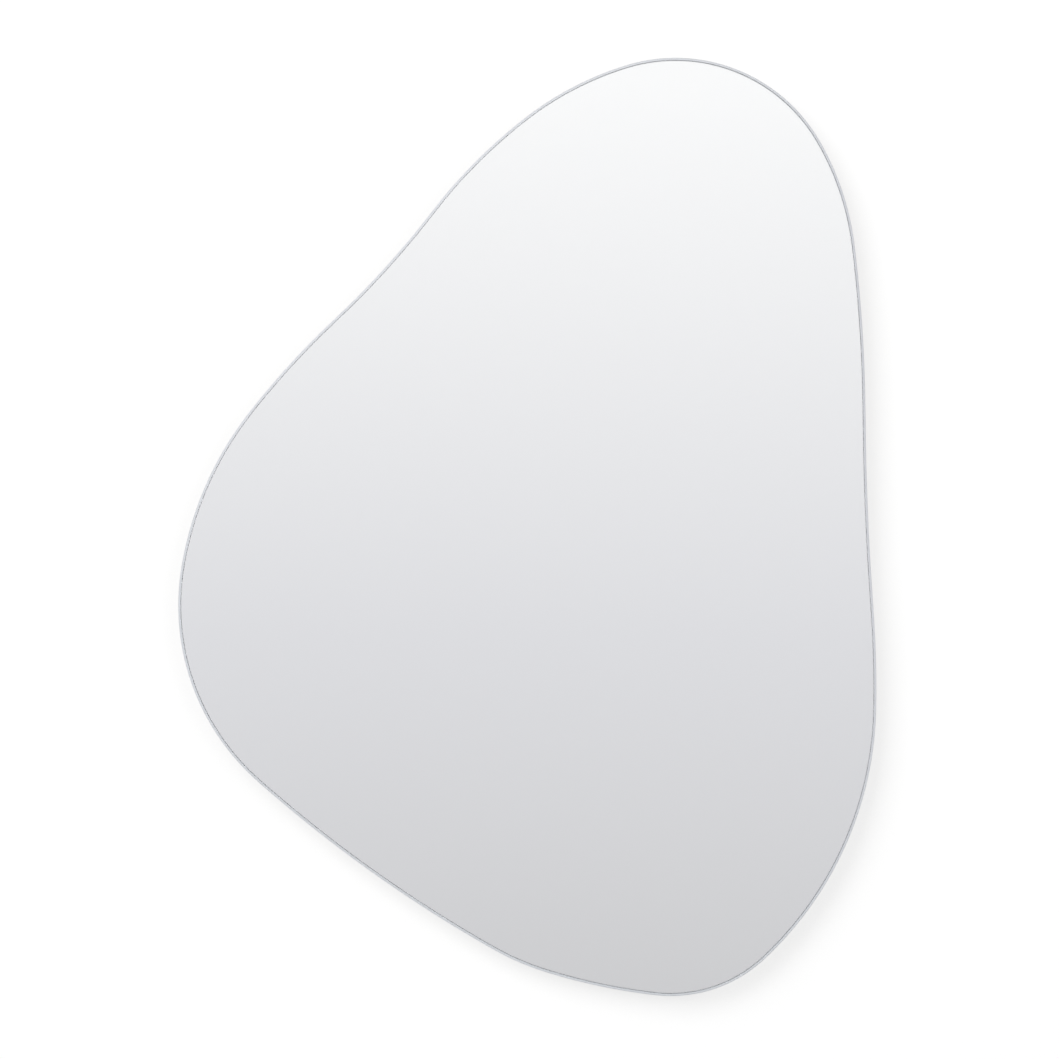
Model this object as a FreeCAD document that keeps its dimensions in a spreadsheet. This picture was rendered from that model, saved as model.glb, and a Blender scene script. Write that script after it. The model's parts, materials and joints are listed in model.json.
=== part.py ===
"""Irregular shaped wall mirror: frameless glass on a bonded board, hung by folding D-rings.

The mirror stands in its hanging position.  +Z is up, +X is right as seen from the front and
+Y points into the wall.  The origin lies in the wall's face, midway between the two points
where the upright hanger rings bear on their hooks, so the outline's centre of area is below it.
"""
import FreeCAD, Part
import math
import os

import Sketcher
from FreeCAD import Placement, Rotation, Vector

doc = FreeCAD.newDocument("irregular_mirror")

# ---------------------------------------------------------------------------------------
# Driving dimensions, in millimetres and degrees
# ---------------------------------------------------------------------------------------
SIZES = {
    "Outline": {
        "mirror_height": (800, "top edge to bottom edge"),
        "hang_drop": (240, "hooks to top edge"),
        "top_offset": (88, "crown, right of the centre line"),
        "top_radius": (142, "crown"),
        "top_right_radius": (235, "right shoulder"),
        "top_right_facing": (30, "crown meets shoulder, above level"),
        "right_upper_radius": (1255, "upper right flank"),
        "right_upper_facing": (7, "shoulder meets flank, above level"),
        "top_left_radius": (270, "left of the crown"),
        "top_left_lean": (17, "crown ends, left of upright"),
        "upper_left_radius": (445, "slope down to the waist"),
        "upper_left_lean": (38, "slope begins, left of upright"),
        "waist_radius": (780, "hollow waist on the left"),
        "waist_side_radius": (700, "below the waist"),
        "left_upper_facing": (38, "below the waist meets left shoulder, above level"),
        "left_upper_radius": (290, "left shoulder"),
        "left_facing": (9, "left shoulder meets left bulge, above level"),
        "left_radius": (200, "left bulge"),
        "left_reach": (336, "centre line to the leftmost point"),
        "left_drop": (67, "middle height to the leftmost point"),
        "low_left_radius": (1180, "long slope to the foot"),
        "foot_radius": (230, "foot, the soft corner left of the bottom"),
        "foot_reach": (117, "foot, left of the lowest point"),
        "foot_rise": (24, "foot, above the lowest point"),
        "foot_lean": (20, "foot faces this far left of straight down"),
        "heel_radius": (500, "between foot and bottom bulge"),
        "bottom_offset": (84, "lowest point, right of the centre line"),
        "bottom_radius": (117, "bottom bulge"),
        "bottom_right_radius": (300, "right of the bottom bulge"),
        "bottom_right_facing": (47, "bottom bulge ends, below level"),
        "right_lower_radius": (940, "lower right flank"),
        "right_lower_facing": (1, "lower flank begins, below level"),
        "right_radius": (2590, "slight hollow of the right side"),
    },
    "Layers": {
        "glass_thickness": (5, "float glass"),
        "front_arris": (2, "polished bevel round the front face"),
        "back_arris": (0.5, "ground edge round the back face"),
        "silver_thickness": (0.1, "silver and its backing paint"),
        "film_thickness": (0.2, "safety film"),
        "film_inset": (3, "film's edge inside the glass edge"),
        "bond_gap": (1.6, "foam tape and silicone between film and board"),
        "board_thickness": (12, "backing board"),
        "board_inset": (25, "board's edge inside the glass edge"),
        "board_bevel": (2, "bevel round the back of the board"),
        "tape_width": (25, "foam tape"),
        "tape_pitch": (130, "tape to tape"),
        "tape_first": (-230, "first tape's centre line"),
        "tape_setback": (10, "tape ends inside the board's edge"),
        "bead_width": (14, "pressed silicone bead"),
        "bead_setback": (28, "bead ends inside the board's edge"),
    },
    "Bumpers": {
        "bumper_height": (8, "board to wall"),
        "bumper_radius": (8, "round foot"),
        "bumper_bevel": (1, "rim at the wall"),
        "bumper_margin": (6, "bumper to the board's edge"),
        "upper_right_bumper_facing": (40, "above level, on the crown"),
        "upper_left_bumper_lean": (45, "left of upright, on the slope"),
        "lower_left_bumper_facing": (35, "below level, on the left bulge"),
        "lower_right_bumper_facing": (35, "below level, right of the bottom"),
    },
    "Hangers": {
        "hanger_half_spacing": (130, "centre line to each upright hanger"),
        "side_hanger_reach": (200, "centre line to the hinges of the sideways hangers"),
        "side_half_spacing": (130, "centre of weight to each sideways hanger"),
        "balance_drop": (175, "hooks to the centre of weight"),
        "strap_width": (10, "steel strip"),
        "strap_thickness": (1.2, "steel strip"),
        "strap_length": (46, "hinge axis to tail"),
        "strap_neck_radius": (1, "inside of the bend where the upper leaf comes down"),
        "strap_tail_bevel": (2.5, "clipped corners of the tail"),
        "fold_gap": (0.15, "between the two leaves"),
        "loop_clearance": (0.1, "wire to the loop round it"),
        "wire_radius": (1.4, "ring wire"),
        "ring_inner_width": (14, "between the ring's legs"),
        "ring_leg": (6, "hinge axis to where the bow begins"),
        "ring_corner": (2.8, "centre line of the corners beside the bar"),
        "ring_rest_gap": (0.3, "folded ring to the strap"),
    },
    "Screws": {
        "screw_near": (22, "hinge axis to the nearer screw"),
        "screw_far": (37, "hinge axis to the farther screw"),
        "screw_length": (11, "under the head"),
        "screw_shank_radius": (1.75, "also the pilot hole"),
        "screw_hole_clearance": (0.35, "shank to the strap's hole"),
        "screw_head_radius": (3.75, "cheese head"),
        "screw_head_height": (2.4, "cheese head"),
        "pilot_spare": (0.5, "pilot hole below the screw's end"),
    },
}

dims = doc.addObject("Spreadsheet::Sheet", "Dims")
row = 1
for heading, group in SIZES.items():
    dims.set(f"A{row}", heading)
    row += 1
    for alias, (number, meaning) in group.items():
        dims.set(f"A{row}", alias)
        dims.set(f"B{row}", str(number))
        dims.set(f"C{row}", meaning)
        dims.setAlias(f"B{row}", alias)
        row += 1

# Places that follow from the driving dimensions, each said once.
layout = doc.addObject("App::VarSet", "Layout")
reading = doc.addObject("App::VarSet", "Reading")
reading.addProperty("App::PropertyFloat", "number")


def derive(name, expression):
    """Add a named place to the layout, worked out from the sheet."""
    layout.addProperty("App::PropertyFloat", name)
    layout.setExpression(name, expression)


derive("lowest_z", "Dims.hang_drop - Dims.mirror_height")
derive("board_back", "-Dims.bumper_height")
derive("bond_back", "Layout.board_back - Dims.board_thickness")
derive("film_back", "Layout.bond_back - Dims.bond_gap")
derive("silver_back", "Layout.film_back - Dims.film_thickness")
derive("glass_back", "Layout.silver_back - Dims.silver_thickness")

# ---------------------------------------------------------------------------------------
# The outline: a closed chain of tangent arcs, counter-clockwise from the right side
# ---------------------------------------------------------------------------------------


class OutlineArc:
    """One arc of the outline.

    An arc is placed in one of three ways: by its centre, by the neighbour it grows out of and
    the direction the outline faces at their joint, or only by touching both its neighbours.
    """

    def __init__(self, name, centre=None, grows_from=0, facing=None, hollow=False):
        self.name = name
        self.centre = centre
        self.grows_from = grows_from
        self.facing = facing
        self.hollow = hollow

    def x(self):
        return getattr(layout, self.name + "_x")

    def z(self):
        return getattr(layout, self.name + "_z")

    def radius(self):
        """The radius as the outline turns: negative in a hollow."""
        size = dims.get(self.name + "_radius")
        return -size if self.hollow else size


OUTLINE = [
    OutlineArc("right_upper", grows_from=1, facing="Dims.right_upper_facing"),
    OutlineArc("top_right", grows_from=1, facing="Dims.top_right_facing"),
    OutlineArc("top", centre=("Dims.top_offset", "Dims.hang_drop - Dims.top_radius")),
    OutlineArc("top_left", grows_from=-1, facing="90 + Dims.top_left_lean"),
    OutlineArc("upper_left", grows_from=-1, facing="90 + Dims.upper_left_lean"),
    OutlineArc("waist", hollow=True),
    OutlineArc("waist_side", grows_from=1, facing="180 - Dims.left_upper_facing"),
    OutlineArc("left_upper", grows_from=1, facing="180 - Dims.left_facing"),
    OutlineArc("left", centre=("Dims.left_radius - Dims.left_reach",
                               "Dims.hang_drop - Dims.mirror_height / 2 - Dims.left_drop")),
    OutlineArc("low_left"),
    OutlineArc("foot", centre=("Dims.bottom_offset - Dims.foot_reach"
                               " + Dims.foot_radius * sin(Dims.foot_lean)",
                               "Layout.lowest_z + Dims.foot_rise"
                               " + Dims.foot_radius * cos(Dims.foot_lean)")),
    OutlineArc("heel"),
    OutlineArc("bottom", centre=("Dims.bottom_offset", "Layout.lowest_z + Dims.bottom_radius")),
    OutlineArc("bottom_right", grows_from=-1, facing="-Dims.bottom_right_facing"),
    OutlineArc("right_lower", grows_from=-1, facing="-Dims.right_lower_facing"),
    OutlineArc("right", hollow=True),
]


def place_outline():
    """Derive every arc centre that the sizes fix, growing out from the arcs with a centre."""
    for arc in OUTLINE:
        if arc.centre:
            derive(arc.name + "_x", arc.centre[0])
            derive(arc.name + "_z", arc.centre[1])
    waiting = [i for i, arc in enumerate(OUTLINE) if arc.grows_from]
    placed = {i for i, arc in enumerate(OUTLINE) if arc.centre}
    while waiting:
        i = next(k for k in waiting if k + OUTLINE[k].grows_from in placed)
        arc, parent = OUTLINE[i], OUTLINE[i + OUTLINE[i].grows_from]
        step = f"(Dims.{parent.name}_radius - Dims.{arc.name}_radius)"
        derive(arc.name + "_x", f"Layout.{parent.name}_x + {step} * cos({arc.facing})")
        derive(arc.name + "_z", f"Layout.{parent.name}_z + {step} * sin({arc.facing})")
        waiting.remove(i)
        placed.add(i)
    doc.recompute()


def touching_centre(before, after, radius):
    """Centre of the arc of a given signed radius that touches the two placed arcs beside it."""
    first = Vector(before.x(), before.z(), 0)
    second = Vector(after.x(), after.z(), 0)
    reach_1 = abs(radius - before.radius())
    reach_2 = abs(radius - after.radius())
    span = second - first
    apart = span.Length
    along = span / apart
    inward = Vector(-along.y, along.x, 0)
    run = (reach_1 ** 2 - reach_2 ** 2 + apart ** 2) / (2 * apart)
    rise = math.sqrt(reach_1 ** 2 - run ** 2)
    return first + along * run + inward * math.copysign(rise, radius)


def outline_sketch(owner, name, inset):
    """Draw the outline on the owner's XZ plane, moved inwards by an expression in millimetres."""
    sketch = plane_sketch(owner, name, "XZ_Plane")
    count = len(OUTLINE)
    shrink = value_of(inset)
    centres = []
    for i, arc in enumerate(OUTLINE):
        if arc.centre or arc.grows_from:
            centres.append(Vector(arc.x(), arc.z(), 0))
        else:
            after = OUTLINE[(i + 1) % count]
            centres.append(touching_centre(OUTLINE[i - 1], after, arc.radius()))
    facings = []
    for i, arc in enumerate(OUTLINE):
        after = (i + 1) % count
        normal = (centres[after] - centres[i]) / (arc.radius() - OUTLINE[after].radius())
        facings.append(math.atan2(normal.y, normal.x))
    for i, arc in enumerate(OUTLINE):
        start, end = facings[i - 1], facings[i]
        if arc.hollow:
            start, end = end + math.pi, start + math.pi
        circle = Part.Circle(centres[i], Vector(0, 0, 1), abs(arc.radius() - shrink))
        sketch.addGeometry(Part.ArcOfCircle(circle, start, end), False)
    for i, arc in enumerate(OUTLINE):
        after = (i + 1) % count
        end = 1 if arc.hollow else 2
        start = 2 if OUTLINE[after].hollow else 1
        sketch.addConstraint(Sketcher.Constraint("Tangent", i, end, after, start))
        sign = "+" if arc.hollow else "-"
        bind(sketch, ("Radius", i), f"Dims.{arc.name}_radius {sign} ({inset})", arc.name)
        if arc.centre:
            bind(sketch, ("DistanceX", -1, 1, i, 3), f"Layout.{arc.name}_x", arc.name + "_x")
            bind(sketch, ("DistanceY", -1, 1, i, 3), f"Layout.{arc.name}_z", arc.name + "_z")
        elif arc.grows_from:
            parent = centres[i + arc.grows_from]
            offset = centres[i] - parent
            if abs(offset.x) < abs(offset.y):
                bind(sketch, ("DistanceX", -1, 1, i, 3), f"Layout.{arc.name}_x", arc.name + "_x")
            else:
                bind(sketch, ("DistanceY", -1, 1, i, 3), f"Layout.{arc.name}_z", arc.name + "_z")
    return sketch


# ---------------------------------------------------------------------------------------
# Helpers for bodies, sketches and features
# ---------------------------------------------------------------------------------------


def value_of(expression):
    """The number that an expression of the sheet gives now."""
    reading.setExpression("number", expression)
    reading.recompute()
    return reading.number


def new_body(name):
    """A body with its own label, which names its file."""
    body = doc.addObject("PartDesign::Body", name)
    body.Label = name
    return body


def plane_sketch(owner, name, role):
    """A sketch on one of the owner's own origin planes, or free in the XZ plane."""
    if owner is None:
        sketch = doc.addObject("Sketcher::SketchObject", name)
        sketch.Placement = Placement(Vector(), Rotation(Vector(1, 0, 0), 90))
        return sketch
    sketch = owner.newObject("Sketcher::SketchObject", name)
    plane = next(f for f in owner.Origin.OriginFeatures if f.Role == role)
    sketch.AttachmentSupport = [(plane, "")]
    sketch.MapMode = "FlatFace"
    return sketch


def bind(sketch, kind, expression, name):
    """Add a named dimension to a sketch and tie it to an expression."""
    number = value_of(expression)
    index = sketch.addConstraint(Sketcher.Constraint(*kind, number))
    sketch.renameConstraint(index, name)
    sketch.setExpression("Constraints." + name, expression)


def pad(body, sketch, name, length):
    """Pad a sketch towards the front of the mirror."""
    feature = body.newObject("PartDesign::Pad", name)
    feature.Profile = sketch
    feature.setExpression("Length", length)
    sketch.Visibility = False
    doc.recompute()
    return feature


def rim_edges(shape, height):
    """Names of the edges that lie all along in the plane y = height."""
    names = []
    for number, edge in enumerate(shape.Edges, start=1):
        middle = edge.valueAt((edge.FirstParameter + edge.LastParameter) / 2)
        ys = [vertex.Y for vertex in edge.Vertexes] + [middle.y]
        if all(abs(y - height) < 1e-6 for y in ys):
            names.append(f"Edge{number}")
    return names


def edge_finish(body, kind, name, edges, size, expression):
    """Chamfer or fillet some edges of the body's latest feature."""
    base = body.Tip
    feature = body.newObject(kind, name)
    feature.Base = (base, edges)
    feature.setExpression(size, expression)
    doc.recompute()
    return feature


def draw_profile(sketch, corners):
    """Draw a closed profile through corners given as pairs of expressions."""
    points = [Vector(value_of(x), value_of(y), 0) for x, y in corners]
    for i, point in enumerate(points):
        sketch.addGeometry(Part.LineSegment(point, points[(i + 1) % len(points)]), False)
    for i, (x, y) in enumerate(corners):
        sketch.addConstraint(Sketcher.Constraint("Coincident", i - 1 if i else len(corners) - 1, 2,
                                                 i, 1))
        if abs(points[i].x) < 1e-9:
            sketch.addConstraint(Sketcher.Constraint("PointOnObject", i, 1, -2))
        else:
            bind(sketch, ("DistanceX", -1, 1, i, 1), x, f"corner_{i}_x")
        if abs(points[i].y) < 1e-9:
            sketch.addConstraint(Sketcher.Constraint("PointOnObject", i, 1, -1))
        else:
            bind(sketch, ("DistanceY", -1, 1, i, 1), y, f"corner_{i}_y")


def draw_circle(sketch, x, y, radius, name):
    """Draw a circle with its centre and radius given by expressions."""
    centre = Vector(value_of(x), value_of(y), 0)
    circle = Part.Circle(centre, Vector(0, 0, 1), value_of(radius))
    index = sketch.addGeometry(circle, False)
    for kind, axis, place in (("DistanceX", -2, x), ("DistanceY", -1, y)):
        if place == "0":
            sketch.addConstraint(Sketcher.Constraint("PointOnObject", index, 3, axis))
        else:
            bind(sketch, (kind, -1, 1, index, 3), place, f"{name}_{kind[-1].lower()}")
    bind(sketch, ("Radius", index), radius, name + "_radius")


def revolve(body, name, corners):
    """Turn a half profile in the XY plane once round the body's Y axis."""
    sketch = plane_sketch(body, name + "_profile", "XY_Plane")
    draw_profile(sketch, corners)
    doc.recompute()
    feature = body.newObject("PartDesign::Revolution", name)
    feature.Profile = sketch
    feature.ReferenceAxis = (sketch, ["V_Axis"])
    feature.Angle = 360
    doc.recompute()
    return feature


def sweep(body, name, profile, path):
    """Sweep a profile along the whole of a path."""
    doc.recompute()
    feature = body.newObject("PartDesign::AdditivePipe", name)
    feature.Profile = profile
    feature.Spine = (path, [f"Edge{i + 1}" for i in range(len(path.Shape.Edges))])
    doc.recompute()
    return feature


# ---------------------------------------------------------------------------------------
# Glass, its coatings and the backing board
# ---------------------------------------------------------------------------------------


def outline_layer(name, inset, thickness, back):
    """A sheet of the outline's shape, its back face at a given place behind the glass."""
    body = new_body(name)
    sketch = outline_sketch(body, name + "_outline", inset)
    pad(body, sketch, name + "_sheet", thickness)
    body.setExpression("Placement.Base.y", back)
    return body


def glass_pane():
    """Float glass with a polished bevel in front and a fine ground edge behind."""
    body = outline_layer("glass_pane", "0", "Dims.glass_thickness", "Layout.glass_back")
    front = rim_edges(body.Tip.Shape, -dims.glass_thickness)
    edge_finish(body, "PartDesign::Chamfer", "front_bevel", front, "Size", "Dims.front_arris")
    back = rim_edges(body.Tip.Shape, 0)
    edge_finish(body, "PartDesign::Chamfer", "back_bevel", back, "Size", "Dims.back_arris")
    return body


def backing_board():
    """Board with a bevelled back edge and a pilot hole for every hanger screw."""
    body = outline_layer("backing_board", "Dims.board_inset", "Dims.board_thickness",
                         "Layout.board_back")
    rim = rim_edges(body.Tip.Shape, 0)
    edge_finish(body, "PartDesign::Chamfer", "bevelled_edge", rim, "Size", "Dims.board_bevel")
    sketch = plane_sketch(body, "pilot_holes_plan", "XZ_Plane")
    for place in screw_places():
        draw_circle(sketch, place + "_x", place + "_z", "Dims.screw_shank_radius",
                    place.split(".")[1])
    doc.recompute()
    holes = body.newObject("PartDesign::Pocket", "pilot_holes")
    holes.Profile = sketch
    holes.Reversed = True
    holes.setExpression("Length", "Dims.screw_length - 2 * Dims.strap_thickness - Dims.fold_gap"
                        " + Dims.pilot_spare")
    doc.recompute()
    return body


# ---------------------------------------------------------------------------------------
# The bond between the filmed glass and the board
# ---------------------------------------------------------------------------------------

TAPE_COUNT = 4


def bond_prism(name, setback):
    """The outline, set back inside the board's edge and as thick as the bond."""
    sketch = outline_sketch(None, name + "_outline", f"Dims.board_inset + {setback}")
    sketch.setExpression("Placement.Base.y", "Layout.bond_back")
    doc.recompute()
    prism = doc.addObject("Part::Extrusion", name)
    prism.Base = sketch
    prism.DirMode = "Normal"
    prism.Solid = True
    prism.setExpression("LengthFwd", "Dims.bond_gap")
    return prism


def bond_strip(name, middle, width, prism):
    """An upright strip of tape or silicone, trimmed to the shape of the prism."""
    strip = doc.addObject("Part::Box", name + "_run")
    strip.setExpression("Length", width)
    strip.setExpression("Width", "Dims.bond_gap")
    strip.setExpression("Height", "Dims.mirror_height")
    strip.setExpression("Placement.Base.x", f"{middle} - {width} / 2")
    strip.setExpression("Placement.Base.y", "Layout.bond_back - Dims.bond_gap")
    strip.setExpression("Placement.Base.z", "Layout.lowest_z")
    trimmed = doc.addObject("Part::Common", name)
    trimmed.Base = strip
    trimmed.Tool = prism
    trimmed.Label = name
    return trimmed


def bond_strips():
    """Foam tapes at an even pitch, with a silicone bead midway between each pair."""
    tape_prism = bond_prism("tape_area", "Dims.tape_setback")
    bead_prism = bond_prism("bead_area", "Dims.bead_setback")
    strips = []
    for i in range(TAPE_COUNT):
        middle = f"(Dims.tape_first + {i} * Dims.tape_pitch)"
        strips.append(bond_strip(f"foam_tape_{i + 1}", middle, "Dims.tape_width", tape_prism))
    for i in range(TAPE_COUNT - 1):
        middle = f"(Dims.tape_first + ({i} + 0.5) * Dims.tape_pitch)"
        strips.append(bond_strip(f"silicone_bead_{i + 1}", middle, "Dims.bead_width", bead_prism))
    doc.recompute()
    return strips


# ---------------------------------------------------------------------------------------
# Hangers: folded steel straps, captive D-rings and their screws
# ---------------------------------------------------------------------------------------

# The wire of the four small rings has flat sides and its bends are chords, which keeps them light.
WIRE_SIDE_COUNT = 8
BOW_CHORD_COUNT = 8
CORNER_CHORD_COUNT = 2

# Each hanger: its name, where its hinge lies and whether its ring folds out sideways.
HANGERS = [
    ("left", "-Dims.hanger_half_spacing", "Layout.upright_hinge_z", False),
    ("right", "Dims.hanger_half_spacing", "Layout.upright_hinge_z", False),
    ("side_upper", "Dims.side_hanger_reach", "Dims.side_half_spacing - Dims.balance_drop", True),
    ("side_lower", "Dims.side_hanger_reach", "-Dims.side_half_spacing - Dims.balance_drop", True),
]


def place_hangers():
    """Derive the hinges and screws, and how far a ring leans when it lies on its strap."""
    derive("upright_hinge_z", "-(Dims.ring_leg + Dims.ring_inner_width / 2)")
    derive("hinge_rise", "Dims.strap_thickness + Dims.wire_radius + Dims.loop_clearance")
    derive("strap_top", "2 * Dims.strap_thickness + Dims.fold_gap")
    derive("ring_half_width", "Dims.ring_inner_width / 2 + Dims.wire_radius")
    derive("ring_lean", "asin((Layout.strap_top + Dims.wire_radius + Dims.ring_rest_gap"
           " - Layout.hinge_rise) / (Dims.ring_leg + Layout.ring_half_width)) / 1 deg")
    for name, hinge_x, hinge_z, sideways in HANGERS:
        derive(name + "_hinge_x", hinge_x)
        derive(name + "_hinge_z", hinge_z)
        reaches = {"tail": "Dims.strap_length", "near": "Dims.screw_near", "far": "Dims.screw_far"}
        for point, reach in reaches.items():
            back_x = reach if sideways else "0"
            back_z = "0" if sideways else reach
            derive(f"{name}_{point}_x", f"Layout.{name}_hinge_x - {back_x}")
            derive(f"{name}_{point}_z", f"Layout.{name}_hinge_z - {back_z}")
    doc.recompute()


def screw_places():
    """Layout names of all the screws, without their _x and _z."""
    return [f"Layout.{hanger[0]}_{point}" for hanger in HANGERS for point in ("near", "far")]


def fold_path(body):
    """Centre line of the strip: up the board, round the ring's bar and down again.

    The sketch lies in the YZ plane.  Its arcs are the loop, and the neck that bends the other
    way to bring the upper leaf down on the lower one.
    """
    sketch = plane_sketch(body, body.Label + "_fold", "YZ_Plane")
    thickness, gap = dims.strap_thickness, dims.fold_gap
    loop = Vector(layout.hinge_rise, dims.strap_length, 0)
    loop_radius = loop.x - thickness / 2
    neck_radius = dims.strap_neck_radius + thickness / 2
    upper = 1.5 * thickness + gap
    across = upper + neck_radius - loop.x
    down = math.sqrt((loop_radius + neck_radius) ** 2 - across ** 2)
    neck = loop + Vector(across, -down, 0)
    turn = math.atan2(-down, across)
    normal = Vector(0, 0, 1)
    lower_end = Vector(thickness / 2, loop.y, 0)
    upper_start = Vector(upper, neck.y, 0)
    sketch.addGeometry(Part.LineSegment(Vector(thickness / 2, 0, 0), lower_end), False)
    sketch.addGeometry(Part.ArcOfCircle(Part.Circle(loop, normal, loop_radius), turn, math.pi),
                       False)
    sketch.addGeometry(Part.ArcOfCircle(Part.Circle(neck, normal, neck_radius), turn + math.pi,
                                        math.pi), False)
    sketch.addGeometry(Part.LineSegment(upper_start, Vector(upper, 0, 0)), False)
    sketch.addConstraint(Sketcher.Constraint("Vertical", 0))
    sketch.addConstraint(Sketcher.Constraint("PointOnObject", 0, 1, -1))
    sketch.addConstraint(Sketcher.Constraint("Tangent", 0, 2, 1, 2))
    sketch.addConstraint(Sketcher.Constraint("Tangent", 1, 1, 2, 1))
    sketch.addConstraint(Sketcher.Constraint("Tangent", 2, 2, 3, 1))
    sketch.addConstraint(Sketcher.Constraint("Vertical", 3))
    sketch.addConstraint(Sketcher.Constraint("PointOnObject", 3, 2, -1))
    bind(sketch, ("DistanceX", -1, 1, 0, 1), "Dims.strap_thickness / 2", "lower_leaf")
    bind(sketch, ("DistanceX", -1, 1, 3, 2), "1.5 * Dims.strap_thickness + Dims.fold_gap",
         "upper_leaf")
    bind(sketch, ("Radius", 1), "Layout.hinge_rise - Dims.strap_thickness / 2", "loop_radius")
    bind(sketch, ("Radius", 2), "Dims.strap_neck_radius + Dims.strap_thickness / 2",
         "neck_radius")
    bind(sketch, ("DistanceY", -1, 1, 1, 3), "Dims.strap_length", "hinge")
    return sketch


def tail_corners(shape):
    """Names of the upright edges at the tail of both leaves."""
    names = []
    for number, edge in enumerate(shape.Edges, start=1):
        first, last = edge.Vertexes[0].Point, edge.Vertexes[-1].Point
        at_tail = abs(first.z) < 1e-6 and abs(last.z) < 1e-6
        if at_tail and abs(first.x - last.x) < 1e-6:
            names.append(f"Edge{number}")
    return names


def hanger_strap(hanger):
    """A strip of sheet steel folded in half round the ring, screwed down through both leaves."""
    name, _, _, sideways = hanger
    body = new_body("hanger_strap_" + name)
    path = fold_path(body)
    section = plane_sketch(body, body.Label + "_section", "XY_Plane")
    draw_profile(section, [
        ("-Dims.strap_width / 2", "0"),
        ("Dims.strap_width / 2", "0"),
        ("Dims.strap_width / 2", "Dims.strap_thickness"),
        ("-Dims.strap_width / 2", "Dims.strap_thickness"),
    ])
    sweep(body, body.Label + "_strip", section, path)
    edge_finish(body, "PartDesign::Chamfer", body.Label + "_tail", tail_corners(body.Tip.Shape),
                "Size", "Dims.strap_tail_bevel")
    plan = plane_sketch(body, body.Label + "_holes_plan", "XZ_Plane")
    for screw in ("near", "far"):
        draw_circle(plan, "0", f"Dims.strap_length - Dims.screw_{screw}",
                    "Dims.screw_shank_radius + Dims.screw_hole_clearance", screw)
    doc.recompute()
    holes = body.newObject("PartDesign::Pocket", body.Label + "_holes")
    holes.Profile = plan
    holes.Type = "ThroughAll"
    doc.recompute()
    turn = 90 if sideways else 0
    body.setExpression("Placement", f"placement(vector(Layout.{name}_tail_x; Layout.board_back;"
                       f" Layout.{name}_tail_z); rotation(vector(0; 1; 0); {turn}))")
    return body


def chords(centre, radius, first, last, count):
    """Corners of a run of equal chords along an arc, as pairs of expressions."""
    angles = [first + (last - first) * i / count for i in range(count + 1)]
    return [(f"{centre[0]} + {radius} * cos({a})", f"{centre[1]} + {radius} * sin({a})")
            for a in angles]


def ring_path(body):
    """Centre line of the D: the bar on the hinge axis, two legs and the bow."""
    sketch = plane_sketch(body, body.Label + "_centre_line", "XZ_Plane")
    corner, bow = "Dims.ring_corner", "Layout.ring_half_width"
    draw_profile(sketch, [
        ("0", "0"),
        *chords((f"{bow} - {corner}", corner), corner, -90, 0, CORNER_CHORD_COUNT),
        *chords(("0", "Dims.ring_leg"), bow, 0, 180, BOW_CHORD_COUNT),
        *chords((f"{corner} - {bow}", corner), corner, 180, 270, CORNER_CHORD_COUNT),
    ])
    return sketch


def hanger_ring(hanger):
    """A D-ring of wire, lying back on its strap."""
    name, _, _, sideways = hanger
    body = new_body("hanger_ring_" + name)
    path = ring_path(body)
    section = plane_sketch(body, body.Label + "_section", "YZ_Plane")
    step = 360 / WIRE_SIDE_COUNT
    draw_profile(section, chords(("0", "0"), "Dims.wire_radius", step / 2, 360 - step / 2,
                                 WIRE_SIDE_COUNT - 1))
    wire = sweep(body, body.Label + "_wire", section, path)
    wire.Transition = "Right corner"
    doc.recompute()
    turn = 90 if sideways else 0
    body.setExpression("Placement", f"placement(vector(Layout.{name}_hinge_x;"
                       f" Layout.board_back + Layout.hinge_rise; Layout.{name}_hinge_z);"
                       f" rotation(vector(0; 1; 0); {turn})"
                       " * rotation(vector(1; 0; 0); 180 + Layout.ring_lean))")
    return body


def hanger_screws():
    """All the screws as one group, each a linked copy of the same turned body."""
    screw = new_body("screw_form")
    revolve(screw, "turned_screw", [
        ("0", "Dims.screw_head_height"),
        ("0", "-Dims.screw_length"),
        ("Dims.screw_shank_radius", "-Dims.screw_length"),
        ("Dims.screw_shank_radius", "0"),
        ("Dims.screw_head_radius", "0"),
        ("Dims.screw_head_radius", "Dims.screw_head_height"),
    ])
    copies = []
    for place in screw_places():
        copy = doc.addObject("App::Link", place.split(".")[1] + "_screw")
        copy.LinkedObject = screw
        copy.setExpression("Placement", f"placement(vector({place}_x; Layout.board_back"
                           f" + Layout.strap_top; {place}_z); rotation(vector(0; 1; 0); 0))")
        copies.append(copy)
    group = doc.addObject("Part::Compound", "hanger_screws")
    group.Links = copies
    group.Label = "hanger_screws"
    doc.recompute()
    return group


# ---------------------------------------------------------------------------------------
# Bumpers
# ---------------------------------------------------------------------------------------

# Each bumper: its name, the arc of the outline it sits inside and where on it.
BUMPERS = [
    ("upper_right", "top", "Dims.upper_right_bumper_facing"),
    ("upper_left", "upper_left", "90 + Dims.upper_left_bumper_lean"),
    ("lower_left", "left", "180 + Dims.lower_left_bumper_facing"),
    ("lower_right", "bottom_right", "-Dims.lower_right_bumper_facing"),
]


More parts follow.
